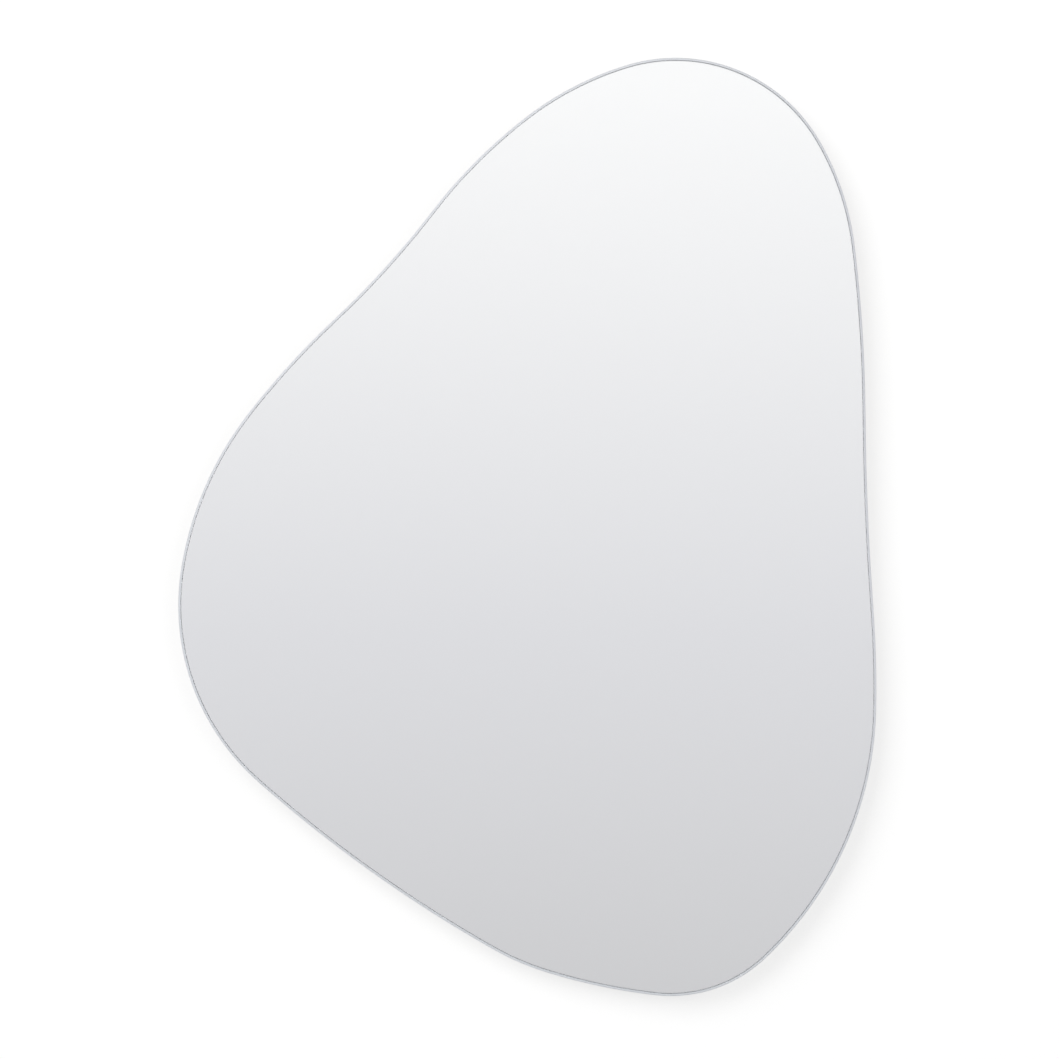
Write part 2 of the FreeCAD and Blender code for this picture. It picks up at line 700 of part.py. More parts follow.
def bumper(name, arc, facing):
    """A round rubber foot on the board's back, near its edge, with a flat face to the wall."""
    body = new_body("bumper_" + name)
    revolve(body, body.Label + "_turned", [
        ("0", "-Dims.bumper_height"),
        ("Dims.bumper_radius", "-Dims.bumper_height"),
        ("Dims.bumper_radius", "-Dims.bumper_bevel"),
        ("Dims.bumper_radius - Dims.bumper_bevel", "0"),
        ("0", "0"),
    ])
    reach = (f"(Dims.{arc}_radius - Dims.board_inset - Dims.bumper_margin"
             " - Dims.bumper_radius)")
    body.setExpression("Placement.Base.x", f"Layout.{arc}_x + {reach} * cos({facing})")
    body.setExpression("Placement.Base.z", f"Layout.{arc}_z + {reach} * sin({facing})")
    return body


# ---------------------------------------------------------------------------------------
# Assembly and export
# ---------------------------------------------------------------------------------------


def build():
    """Make every sub-part, front to back."""
    place_outline()
    place_hangers()
    parts = [glass_pane()]
    parts.append(outline_layer("silvering_and_paint", "Dims.back_arris", "Dims.silver_thickness",
                               "Layout.silver_back"))
    parts.append(outline_layer("safety_film", "Dims.film_inset", "Dims.film_thickness",
                               "Layout.film_back"))
    parts += bond_strips()
    parts.append(backing_board())
    parts += [hanger_strap(hanger) for hanger in HANGERS]
    parts += [hanger_ring(hanger) for hanger in HANGERS]
    parts.append(hanger_screws())
    parts += [bumper(*place) for place in BUMPERS]
    doc.recompute()
    return parts


def check(parts):
    """Stop if any object of the document failed or any sub-part has no sound shape."""
    failed = [item.Label for item in doc.Objects if {"Invalid", "Error"} & set(item.State)]
    if failed:
        raise RuntimeError("failed objects: " + ", ".join(failed))
    for part in parts:
        if part.Shape.isNull() or not part.Shape.isValid():
            raise RuntimeError("no sound shape: " + part.Label)


def export(parts):
    """Write each sub-part to a file named by its label."""
    os.makedirs("parts", exist_ok=True)
    for part in parts:
        part.Shape.exportStep(f"parts/{part.Label}.step")
        box = part.Shape.BoundBox
        print(f"{part.Label}: {len(part.Shape.Solids)} solid(s), {part.Shape.Volume:.1f} mm3, "
              f"x {box.XMin:.2f}..{box.XMax:.2f}, y {box.YMin:.2f}..{box.YMax:.2f}, "
              f"z {box.ZMin:.2f}..{box.ZMax:.2f}")


sub_parts = build()
check(sub_parts)
export(sub_parts)
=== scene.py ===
"""Irregular wall mirror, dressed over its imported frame.

The mirror hangs in the plane y = 0, with +Z up, +X right as seen from the front and +Y into the
wall. All lengths are in metres. Each sub-assembly is a class that builds its own meshes, each
finish is a small frozen class that makes one material, and main() puts them together.
"""
import json
import logging
import math
from dataclasses import dataclass, field
from enum import Enum, IntEnum
from typing import Iterable, Sequence

import bmesh
import bpy
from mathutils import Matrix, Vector

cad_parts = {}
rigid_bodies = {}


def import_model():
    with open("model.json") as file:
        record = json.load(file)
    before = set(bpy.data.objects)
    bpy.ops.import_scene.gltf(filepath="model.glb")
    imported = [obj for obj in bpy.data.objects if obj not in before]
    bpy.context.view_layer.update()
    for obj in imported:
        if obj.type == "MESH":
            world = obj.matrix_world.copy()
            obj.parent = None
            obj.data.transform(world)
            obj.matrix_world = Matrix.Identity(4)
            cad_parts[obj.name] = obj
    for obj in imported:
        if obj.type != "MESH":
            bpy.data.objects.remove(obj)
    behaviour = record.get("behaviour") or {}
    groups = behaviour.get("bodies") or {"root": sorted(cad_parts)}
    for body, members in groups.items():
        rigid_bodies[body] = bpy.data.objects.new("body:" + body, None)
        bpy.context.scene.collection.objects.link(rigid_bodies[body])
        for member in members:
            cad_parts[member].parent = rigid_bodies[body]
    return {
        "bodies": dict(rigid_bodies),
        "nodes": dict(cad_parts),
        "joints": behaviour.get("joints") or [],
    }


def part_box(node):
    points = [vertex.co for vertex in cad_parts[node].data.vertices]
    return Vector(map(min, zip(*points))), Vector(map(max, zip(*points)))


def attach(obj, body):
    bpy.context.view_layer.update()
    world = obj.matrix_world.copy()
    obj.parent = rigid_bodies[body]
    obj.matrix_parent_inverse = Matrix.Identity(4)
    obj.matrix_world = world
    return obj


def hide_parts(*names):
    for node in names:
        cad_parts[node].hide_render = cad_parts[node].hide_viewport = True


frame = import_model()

log = logging.getLogger("mirror")

Span = tuple[float, float]
Triple = tuple[float, float, float]
Colour = tuple[float, float, float]
Stops = tuple[tuple[float, Colour], ...]
Socket = bpy.types.NodeSocket
Value = Socket | Colour | float
Material = bpy.types.Material
Mesh = bmesh.types.BMesh
Corner = bmesh.types.BMVert

MM = 0.001
INTO_WALL = Vector((0.0, 1.0, 0.0))
# Corners nearer to each other than this are one corner.
WELD = 0.001 * MM
# How far a rim's corners may lie off its depth.
LEVEL_SLACK = 0.01 * MM
GLASS_INDEX = 1.52
WHITE = (1.0, 1.0, 1.0)
# Most values of a noise lie in the wider span, and the narrower one gives stronger contrast.
MOST_NOISE = (0.3, 0.7)
STRONG_NOISE = (0.35, 0.65)
HANGERS = ("left", "right", "side_upper", "side_lower")
BUMPERS = ("upper_right", "upper_left", "lower_left", "lower_right")


class Slot(Enum):
    """Material slots of the record that match the new pieces' finishes."""

    GLASS = "float_glass"
    SILVER = "silvering"
    BOARD = "board"
    STEEL = "plated_steel"
    RUBBER = "bumper_rubber"


class Operation(Enum):
    """What a node of arithmetic does."""

    ADD = "ADD"
    MULTIPLY = "MULTIPLY"
    MAXIMUM = "MAXIMUM"
    ABSOLUTE = "ABSOLUTE"


class PaneFace(IntEnum):
    """Faces of the pane, numbered as its finishes are."""

    FRONT = 0
    BEVEL = 1
    EDGE = 2
    BACK = 3


# ---- Finishes ----


class Nodes:
    """A node tree, with short calls for what the finishes, the room and the stage share."""

    # Sockets of the mix node: its factor and two colours, and the mixed colour.
    MIX_INPUTS = (0, 6, 7)
    MIX_RESULT = 2

    def __init__(self, tree: bpy.types.NodeTree) -> None:
        """Takes a tree over and empties it."""
        self.tree = tree
        self.tree.nodes.clear()

    def add(self, kind: str, **settings: object) -> bpy.types.Node:
        """Adds a node and sets its properties.

        Args:
            kind: The node's type name.
            settings: Properties of the node, by name.

        Returns:
            The new node.
        """
        node = self.tree.nodes.new(kind)
        for key, value in settings.items():
            setattr(node, key, value)
        return node

    def feed(self, socket: Socket, value: Value) -> None:
        """Wires an input, or sets it to a constant.

        Args:
            socket: The input.
            value: The output that it is wired to, or a colour, or a number.
        """
        if isinstance(value, Socket):
            self.tree.links.new(value, socket)
        else:
            socket.default_value = (*value, 1.0) if isinstance(value, tuple) else value

    def remap(self, source: Socket, span: Span, result: Span = (0.0, 1.0),
              eased: bool = False) -> Socket:
        """Maps a range of values onto another, held at its ends.

        Args:
            source: The value to map.
            span: Its two ends.
            result: What they give.
            eased: Whether the course between them starts and stops softly.

        Returns:
            The mapped value.
        """
        course = "SMOOTHSTEP" if eased else "LINEAR"
        node = self.add("ShaderNodeMapRange", interpolation_type=course)
        for name, value in zip(("Value", "From Min", "From Max", "To Min", "To Max"),
                               (source, *span, *result)):
            self.feed(node.inputs[name], value)
        return node.outputs["Result"]

    def combine(self, operation: Operation, first: Value, second: Value = 0.0) -> Socket:
        """Combines two values with one operation of arithmetic.

        Args:
            operation: The operation.
            first: The first value.
            second: The second value, where the operation takes one.

        Returns:
            The result.
        """
        node = self.add("ShaderNodeMath", operation=operation.value)
        self.feed(node.inputs[0], first)
        self.feed(node.inputs[1], second)
        return node.outputs[0]

    def blend(self, factor: Socket, first: Value, second: Value) -> Socket:
        """Mixes two colours by a factor.

        Args:
            factor: 0 for the first colour and 1 for the second.
            first: Linear colour at 0.
            second: Linear colour at 1.

        Returns:
            The mixed colour.
        """
        node = self.add("ShaderNodeMix", data_type="RGBA")
        for number, value in zip(self.MIX_INPUTS, (factor, first, second)):
            self.feed(node.inputs[number], value)
        return node.outputs[self.MIX_RESULT]

    def ramp(self, source: Socket, span: Span, stops: Stops) -> Socket:
        """Colours that follow a value.

        Args:
            source: The value.
            span: The value at the ramp's two ends.
            stops: Values in order, each with its linear colour.

        Returns:
            The colour.
        """
        low, high = span
        node = self.add("ShaderNodeValToRGB")
        elements = node.color_ramp.elements
        while len(elements) < len(stops):
            elements.new(0.5)
        for element, (place, colour) in zip(elements, stops):
            element.position = (place - low) / (high - low)
            element.color = (*colour, 1.0)
        self.feed(node.inputs["Fac"], self.remap(source, span))
        return node.outputs["Color"]


class Graph(Nodes):
    """The node tree of one material on the object."""

    def __init__(self, name: str) -> None:
        """Starts a material with a surface shader already wired to its output.

        Args:
            name: The material's name.
        """
        self.material = bpy.data.materials.new(name)
        self.material.use_nodes = True
        super().__init__(self.material.node_tree)
        self.shader = self.add("ShaderNodeBsdfPrincipled")
        output = self.add("ShaderNodeOutputMaterial")
        self.feed(output.inputs["Surface"], self.shader.outputs[0])
        self.place = self.add("ShaderNodeTexCoord").outputs["Object"]

    def texture(self, kind: str, scale: Triple) -> bpy.types.Node:
        """A texture in object coordinates, scaled differently along each axis.

        Args:
            kind: The node's type name.
            scale: Features per metre along x, y and z.

        Returns:
            The texture's node.
        """
        mapping = self.add("ShaderNodeMapping")
        mapping.inputs["Scale"].default_value = scale
        self.feed(mapping.inputs["Vector"], self.place)
        node = self.add(kind)
        self.feed(node.inputs["Scale"], 1.0)
        self.feed(node.inputs["Vector"], mapping.outputs["Vector"])
        return node

    def noise(self, scale: Triple | float, detail: float = 3.0) -> Socket:
        """Cloudy noise between 0 and 1.

        Args:
            scale: Features per metre, along x, y and z or all three.
            detail: How many finer octaves it holds.

        Returns:
            The noise.
        """
        node = self.texture("ShaderNodeTexNoise",
                            scale if isinstance(scale, tuple) else (scale,) * 3)
        self.feed(node.inputs["Detail"], detail)
        return node.outputs["Fac"]

    def cells(self, scale: float) -> Socket:
        """Distance to the nearest of scattered points, so many per metre."""
        return self.texture("ShaderNodeTexVoronoi", (scale,) * 3).outputs["Distance"]

    def surface(self, relief: Socket | None = None, depth: float = 0.0,
                **values: Value) -> Material:
        """Feeds the surface shader's own sockets, which ends the material.

        Args:
            relief: Height of the surface between 0 and 1, where it has a relief.
            depth: How far that range reaches.
            values: Socket names in lower case with underscores, and what feeds them.

        Returns:
            The material.
        """
        if relief is not None:
            bump = self.add("ShaderNodeBump")
            self.feed(bump.inputs["Distance"], depth)
            self.feed(bump.inputs["Height"], relief)
            self.feed(self.shader.inputs["Normal"], bump.outputs["Normal"])
        for key, value in values.items():
            name = key.replace("_", " ")
            self.feed(next(s for s in self.shader.inputs if s.name.lower() == name), value)
        return self.material


@dataclass(frozen=True)
class FloatGlass:
    """Clear float glass with the faint waviness that rollers and heat leave in it."""

    tint: Colour = (0.985, 0.992, 0.990)
    waves_per_metre: float = 9.0
    wave_depth: float = 0.002 * MM

    def make(self) -> Material:
        """Builds the material."""
        graph = Graph("clear_float_glass")
        return graph.surface(graph.noise(self.waves_per_metre, detail=1.0), self.wave_depth,
                             base_color=self.tint, ior=GLASS_INDEX, transmission_weight=1.0,
                             roughness=0.0)


@dataclass(frozen=True)
class PolishedBevel:
    """The bevel round the front, polished to a satin with faint lines of the wheel."""

    tint: Colour = (0.93, 0.95, 0.98)
    share_passed: float = 0.72
    satin: float = 0.38
    lines_per_metre: Triple = (60.0, 5000.0, 60.0)
    line_depth: float = 0.002 * MM

    def make(self) -> Material:
        """Builds the material."""
        graph = Graph("polished_bevel")
        return graph.surface(graph.noise(self.lines_per_metre, detail=2.0), self.line_depth,
                             base_color=self.tint, ior=GLASS_INDEX,
                             transmission_weight=self.share_passed, roughness=self.satin)


@dataclass(frozen=True)
class GroundEdge:
    """The sea-green edge of the glass, ground to a satin face."""

    pale: Colour = (0.74, 0.87, 0.85)
    deep: Colour = (0.64, 0.80, 0.77)
    share_passed: float = 0.45
    satin: Span = (0.50, 0.66)
    drifts_per_metre: float = 14.0
    grains_per_metre: float = 3500.0
    grain_depth: float = 0.02 * MM

    def make(self) -> Material:
        """Builds the material.

        Returns:
            The material.
        """
        graph = Graph("ground_glass_edge")
        grain = graph.noise(self.grains_per_metre, detail=2.0)
        drift = graph.remap(graph.noise(self.drifts_per_metre, detail=2.0), STRONG_NOISE)
        return graph.surface(grain, self.grain_depth, ior=GLASS_INDEX,
                             transmission_weight=self.share_passed,
                             base_color=graph.blend(drift, self.pale, self.deep),
                             roughness=graph.remap(grain, MOST_NOISE, self.satin))


@dataclass(frozen=True)
class SilverCoat:
    """The bright face of the silver, seen through the glass."""

    bright: Colour = (0.955, 0.960, 0.962)
    faint: Colour = (0.948, 0.953, 0.956)
    drifts_per_metre: float = 3.0

    def make(self) -> Material:
        """Builds the material.

        Returns:
            The material.
        """
        graph = Graph("bright_silver")
        drift = graph.noise(self.drifts_per_metre, detail=1.0)
        return graph.surface(base_color=graph.blend(drift, self.bright, self.faint),
                             metallic=1.0, roughness=0.0)


@dataclass(frozen=True)
class BackingPaint:
    """Grey curtain-coated paint that seals the silver."""

    light: Colour = (0.36, 0.37, 0.38)
    dark: Colour = (0.30, 0.31, 0.32)
    sheen: Span = (0.45, 0.6)
    runs_per_metre: Triple = (8.0, 8.0, 60.0)
    specks_per_metre: float = 900.0
    speck_depth: float = 0.02 * MM

    def make(self) -> Material:
        """Builds the material.

        Returns:
            The material.
        """
        graph = Graph("backing_paint")
        flow = graph.noise(self.runs_per_metre)
        return graph.surface(graph.noise(self.specks_per_metre), self.speck_depth,
                             base_color=graph.blend(flow, self.light, self.dark),
                             roughness=graph.remap(flow, MOST_NOISE, self.sheen))


@dataclass(frozen=True)
class WovenFilm:
    """White safety film with a reinforcing weave and a few laid-in ripples; painted shade darkens
    the gaps between threads.
    """

    thread: Colour = (0.76, 0.77, 0.78)
    gap_shade: Colour = (0.715, 0.728, 0.742)
    sheen: Span = (0.28, 0.45)
    threads_per_metre: float = 1000.0
    waver: float = 0.4
    ripples_per_metre: Triple = (18.0, 18.0, 4.0)
    ripple_depth: float = 0.12 * MM
    weave_share: float = 0.2

    def make(self) -> Material:
        """Builds the material.

        Returns:
            The material.
        """
        graph = Graph("safety_film")
        weave = graph.combine(Operation.MAXIMUM, self.threads(graph, "X"), self.threads(graph, "Z"))
        ripple = graph.noise(self.ripples_per_metre, detail=2.0)
        woven = graph.combine(Operation.MULTIPLY, weave, self.weave_share)
        # The gaps between threads take the darker colour: painted shade between the raised threads.
        return graph.surface(graph.combine(Operation.ADD, woven, ripple), self.ripple_depth,
                             base_color=graph.blend(weave, self.gap_shade, self.thread),
                             roughness=graph.remap(ripple, MOST_NOISE, self.sheen))

    def threads(self, graph: Graph, across: str) -> Socket:
        """Parallel threads.

        Args:
            graph: The material's graph.
            across: The axis that crosses the threads.

        Returns:
            1 on a thread and 0 between two.
        """
        wave = graph.add("ShaderNodeTexWave", bands_direction=across, wave_profile="SIN")
        for name, value in (("Scale", self.threads_per_metre / math.tau),
                            ("Distortion", self.waver), ("Vector", graph.place)):
            graph.feed(wave.inputs[name], value)
        return wave.outputs["Fac"]


@dataclass(frozen=True)
class ClosedCellFoam:
    """Foam of the mounting tape, cut through its bubbles, whose hollows are darkened with painted
    shade.
    """

    skin: Colour = (0.80, 0.81, 0.82)
    pore_shade: Colour = (0.60, 0.61, 0.62)
    bubbles_per_metre: float = 2200.0
    wall_to_hollow: Span = (0.1, 0.6)
    bubble_depth: float = 0.15 * MM
    matt: float = 0.85

    def make(self) -> Material:
        """Builds the material.

        Returns:
            The material.
        """
        graph = Graph("closed_cell_foam")
        bubbles = graph.remap(graph.cells(self.bubbles_per_metre), self.wall_to_hollow)
        # The bubbles' hollows take the darker colour: painted shade in the recesses.
        return graph.surface(bubbles, self.bubble_depth, roughness=self.matt,
                             base_color=graph.blend(bubbles, self.pore_shade, self.skin))


@dataclass(frozen=True)
class CuredSilicone:
    """Neutral silicone, slightly see-through at its edges."""

    body: Colour = (0.66, 0.67, 0.68)
    cloud: Colour = (0.74, 0.75, 0.76)
    sheen: float = 0.32
    glow: float = 0.25
    glow_depth: float = 2.0 * MM
    drags_per_metre: Triple = (220.0, 220.0, 12.0)
    drag_depth: float = 0.2 * MM

    def make(self) -> Material:
        """Builds the material.

        Returns:
            The material.
        """
        graph = Graph("cured_silicone")
        drag = graph.noise(self.drags_per_metre)
        return graph.surface(drag, self.drag_depth, roughness=self.sheen,
                             subsurface_weight=self.glow, subsurface_scale=self.glow_depth,
                             base_color=graph.blend(drag, self.body, self.cloud))


@dataclass(frozen=True)
class Fibreboard:
    """Raw fibreboard: a pressed face with stray dark fibres, and softer, rougher sawn edges."""

    face: Colour = (0.485, 0.350, 0.228)
    pale: Colour = (0.530, 0.388, 0.258)
    fibre: Colour = (0.30, 0.20, 0.12)
    edge: Colour = (0.40, 0.275, 0.17)
    matt: Span = (0.62, 0.82)
    clouds_per_metre: float = 24.0
    fibres_per_metre: Triple = (1300.0, 1300.0, 1900.0)
    fibre_span: Span = (0.58, 0.74)
    fibre_cover: float = 0.26
    fluff_per_metre: Triple = (1500.0, 1500.0, 380.0)
    fluff_depth: float = 0.08 * MM
    edge_to_face: Span = (0.80, 0.95)
    edge_cover: float = 0.75

    def make(self) -> Material:
        """Builds the material.

        Returns:
            The material.
        """
        graph = Graph("raw_fibreboard")
        cloud = graph.remap(graph.noise(self.clouds_per_metre, detail=4.0), MOST_NOISE)
        fibres = graph.remap(graph.noise(self.fibres_per_metre), self.fibre_span,
                             (0.0, self.fibre_cover))
        fluff = graph.noise(self.fluff_per_metre, detail=4.0)
        facing = graph.add("ShaderNodeSeparateXYZ")
        graph.feed(facing.inputs[0], graph.add("ShaderNodeNewGeometry").outputs["True Normal"])
        level = graph.combine(Operation.ABSOLUTE, facing.outputs["Y"])
        sawn = graph.remap(level, self.edge_to_face, (self.edge_cover, 0.0))
        flecked = graph.blend(fibres, graph.blend(cloud, self.face, self.pale), self.fibre)
        return graph.surface(graph.combine(Operation.ADD, fluff, fibres), self.fluff_depth,
                             base_color=graph.blend(sawn, flecked, self.edge),
                             roughness=graph.remap(fluff, MOST_NOISE, self.matt))


@dataclass(frozen=True)
class ZincPlate:
    """Bright zinc plate with rolling lines, cloudy patches and fine scratches."""

    bright: Colour = (0.70, 0.715, 0.735)
    dull: Colour = (0.60, 0.615, 0.64)
    gloss: Span = (0.27, 0.40)
    patches_per_metre: float = 420.0
    mottle_span: Span = (0.0, 0.7)
    lines_per_metre: Triple = (3200.0, 300.0, 160.0)
    line_depth: float = 0.012 * MM

    def make(self) -> Material:
        """Builds the material.

        Returns:
            The material.
        """
        graph = Graph("bright_zinc_plate")
        patches = graph.remap(graph.noise(self.patches_per_metre, detail=5.0), STRONG_NOISE)
        rolled = graph.noise(self.lines_per_metre)
        mottle = graph.combine(Operation.MULTIPLY, patches, rolled)
        return graph.surface(rolled, self.line_depth, metallic=1.0,
                             base_color=graph.blend(patches, self.bright, self.dull),
                             roughness=graph.remap(mottle, self.mottle_span, self.gloss))


@dataclass(frozen=True)
class MouldedRubber:
    """Matt black rubber with a pebbled mould finish and a little bloom."""

    black: Colour = (0.022, 0.022, 0.024)
    bloom: Colour = (0.050, 0.050, 0.052)
    matt: Span = (0.50, 0.68)
    blooms_per_metre: float = 420.0
    bloom_span: Span = (0.4, 0.7)
    pebbles_per_metre: float = 3200.0
    pebble_depth: float = 0.03 * MM

    def make(self) -> Material:
        """Builds the material.

        Returns:
            The material.
        """
        graph = Graph("moulded_rubber")
        bloom = graph.remap(graph.noise(self.blooms_per_metre), self.bloom_span)
        return graph.surface(graph.cells(self.pebbles_per_metre), self.pebble_depth,
                             base_color=graph.blend(bloom, self.black, self.bloom),
                             roughness=graph.remap(bloom, (0.0, 1.0), self.matt))


# ---- Outline and meshes ----


def headings(path: Sequence[Vector]) -> list[Vector]:
    """The direction along a closed path at each of its points."""
    return [(path[(i + 1) % len(path)] - path[i - 1]).normalized() for i in range(len(path))]


def neighbours(ring: Sequence) -> Iterable[tuple]:
    """The pairs of neighbours round a closed ring."""
    return zip(ring, (*ring[1:], ring[0]))


@dataclass(frozen=True)
class Outline:
    """The mirror's closed outline, in the plane of the wall.

    Attributes:
        points: Places along the outline, counter-clockwise as seen from the front.
        outward: The direction that the outline faces at each place.
    """

    points: tuple[Vector, ...]
    outward: tuple[Vector, ...]

    @classmethod
    def round_node(cls, node: bpy.types.Object, level: float, spacing: float) -> "Outline":
        """Reads a rim of a CAD node and runs a smooth, evenly divided curve through it.

        Args:
            node: The CAD node, whose rim lies all at one depth.
            level: The rim's y.
            spacing: Longest step between two points of the result.

        Returns:
            The smooth outline.
        """
        corners = cls._rim(node, level)
        count = len(corners)
        points: list[Vector] = []
        for i in range(count):
            around = [corners[(i + k) % count] for k in (-1, 0, 1, 2)]
            steps = math.ceil((around[2] - around[1]).length / spacing)
            points += [cls._between(around, step / steps) for step in range(steps)]
        outward = [Vector((along.z, 0.0, -along.x)) for along in headings(points)]
        return cls(tuple(points), tuple(outward))

    @staticmethod
    def _rim(node: bpy.types.Object, level: float) -> list[Vector]:
        """Walks round a rim, counter-clockwise as seen from the front.

        Args:
            node: The CAD node.
            level: The rim's y.

        Returns:
            The rim's corners in order, in the plane of the wall.
        """
        mesh = bmesh.new()
        mesh.from_mesh(node.data)
        bmesh.ops.remove_doubles(mesh, verts=mesh.verts, dist=WELD)
        rim = {v for v in mesh.verts if abs(v.co.y - level) < LEVEL_SLACK}
        last, here = None, min(rim, key=lambda v: (v.co.z, v.co.x))
        first, corners = here, []
        while not corners or here is not first:
            corners.append(Vector((here.co.x, 0.0, here.co.z)))
            ways = [edge.other_vert(here) for edge in here.link_edges]
            ways = [v for v in ways if v in rim and v is not last]
            last, here = here, max(ways, key=lambda v: v.co.x) if last is None else ways[0]
        mesh.free()
        return corners

    @staticmethod
    def _between(around: Sequence[Vector], share: float) -> Vector:
        """A point between the middle two of four corners, on a centripetal spline.

        Args:
            around: Four corners in order.
            share: How far along from the second corner to the third, from 0 to 1.

        Returns:
            The point.
        """
        knots = [0.0]
        for first, second in zip(around, around[1:]):
            knots.append(knots[-1] + math.sqrt((second - first).length))
        here = knots[1] + share * (knots[2] - knots[1])
        level = list(around)
        # Each round blends neighbours between two knots, until one point is left.
        for spans in (((0, 1), (1, 2), (2, 3)), ((0, 2), (1, 3)), ((1, 2),)):
            for i, (low, high) in enumerate(spans):
                span = knots[high] - knots[low]
                level[i] = level[i] * ((knots[high] - here) / span) \
                    + level[i + 1] * ((here - knots[low]) / span)
        return level[0]

    def ring(self, inset: float, y: float) -> list[Vector]:
        """The outline moved inwards, at a depth.

        Args:
            inset: How far inside the outline.
            y: The ring's depth.

        Returns:
            One place for each point of the outline.
        """
        return [point - facing * inset + INTO_WALL * y
                for point, facing in zip(self.points, self.outward)]


@dataclass(frozen=True)
class Station:
    """One ring of a plate.

    Attributes:
        inset: How far inside the outline the ring lies.
        y: The ring's depth.
        finish: Number of the material on the band from this ring to the next.
    """

    inset: float
    y: float
    finish: int = 0


def bridge(mesh: Mesh, near: Sequence[Corner], far: Sequence[Corner], finish: int = 0) -> None:
    """Spans a band of four-sided faces between two rings.

    Args:
        mesh: The mesh.
        near: Corners of the first ring.
        far: Corners of the second ring, as many.
        finish: Number of the band's material.
    """
    for (a, b), (d, c) in zip(neighbours(near), neighbours(far)):
        mesh.faces.new((a, b, c, d)).material_index = finish


def plate(outline: Outline, stations: Sequence[Station], front: int = 0, back: int = 0) -> Mesh:
    """A plate of the outline's shape, lofted through its stations.

    Args:
        outline: The outline.
        stations: Rings from the front face round the edge to the back face.
        front: Number of the front face's material.
        back: Number of the back face's material.

    Returns:
        The closed mesh.
    """
    mesh = bmesh.new()
    rings = [[mesh.verts.new(p) for p in outline.ring(s.inset, s.y)] for s in stations]
    for station, near, far in zip(stations, rings, rings[1:]):
        bridge(mesh, near, far, station.finish)
    mesh.faces.new(rings[0]).material_index = front
    mesh.faces.new(rings[-1]).material_index = back
    return mesh


def lathe(centre: Vector, profile: Sequence[Span], sides: int) -> tuple[Mesh, list[Corner]]:
    """A solid turned round an axis along y.

    Args:
        centre: A point of the axis at y = 0 of the profile.
        profile: Pairs of radius and y, from the closed end to the open one.
        sides: Number of sides.

    Returns:
        The mesh, capped at its first ring, and the open ring at the end of the profile.
    """
    mesh = bmesh.new()
    turn = [math.tau * i / sides for i in range(sides)]
    rings = [[mesh.verts.new(centre + Vector((radius * math.cos(a), y, radius * math.sin(a))))
              for a in turn] for radius, y in profile]
    mesh.faces.new(rings[0])
    for near, far in zip(rings, rings[1:]):
        bridge(mesh, near, far)
    return mesh, rings[-1]


def tube(path: Sequence[Vector], side: Vector, radius: float, sides: int) -> Mesh:
    """Round wire along a closed flat path.

    Args:
        path: Points of the centre line, the last of which leads back to the first.
        side: Direction square to the plane of the path.
        radius: The wire's radius.
        sides: Number of sides of the wire.

    Returns:
        The closed mesh.
    """
    mesh = bmesh.new()
    turn = [math.tau * i / sides for i in range(sides)]
    rings = []
    for point, along in zip(path, headings(path)):
        across = along.cross(side)
        rings.append([mesh.verts.new(point + (across * math.cos(a) + side * math.sin(a)) * radius)
                      for a in turn])
    for near, far in neighbours(rings):
        bridge(mesh, near, far)
    return mesh


def arc(centre: tuple[float, float], radius: float, first: float, last: float,
        steps: int) -> list[tuple[float, float]]:
    """Points along an arc.

    Args:
        centre: The arc's centre.
        radius: Its radius.
        first: Angle in degrees of the first point.
        last: Angle in degrees of the last point.
        steps: Number of steps between them.

    Returns:
        The points, both ends included.
    """
    angles = [math.radians(first + (last - first) * i / steps) for i in range(steps + 1)]
    return [(centre[0] + radius * math.cos(a), centre[1] + radius * math.sin(a))
            for a in angles]


def dress(node: str, finish: Material) -> None:
    """Gives a carried-over CAD node its finish.

    Args:
        node: The node's name.
        finish: The material for all its faces.
    """
    data = frame["nodes"][node].data
    data.materials.clear()
    data.materials.append(finish)
    log.info("node %s: %s", node, finish.name)


def add_piece(name: str, mesh: Mesh, finishes: Sequence[Material], slot: Slot, *nodes: str,
              body: str = "mirror", crease: float = 28.0) -> None:
    """Turns a mesh into a piece with smooth faces and sharp creases, in place of CAD nodes.

    Args:
        name: The piece's name.
        mesh: The mesh, which is freed.
        finishes: Its materials, in the order of its faces' numbers.
        slot: The record's slot of its finish; not used.
        nodes: CAD nodes that it stands for.
        body: The body that it rides on.
        crease: Angle in degrees above which an edge stays sharp.
    """
    bmesh.ops.recalc_face_normals(mesh, faces=mesh.faces)
    data = bpy.data.meshes.new(name)
    mesh.to_mesh(data)
    mesh.free()
    for finish in finishes:
        data.materials.append(finish)
    data.polygons.foreach_set("use_smooth", [True] * len(data.polygons))
    data.set_sharp_from_angle(angle=math.radians(crease))
    piece = bpy.data.objects.new(name, data)
    bpy.context.scene.collection.objects.link(piece)
    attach(piece, body)
    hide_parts(*nodes)
    log.info("piece %s: %d faces, on %s", piece.name, len(piece.data.polygons), body)


# ---- Sub-assemblies ----


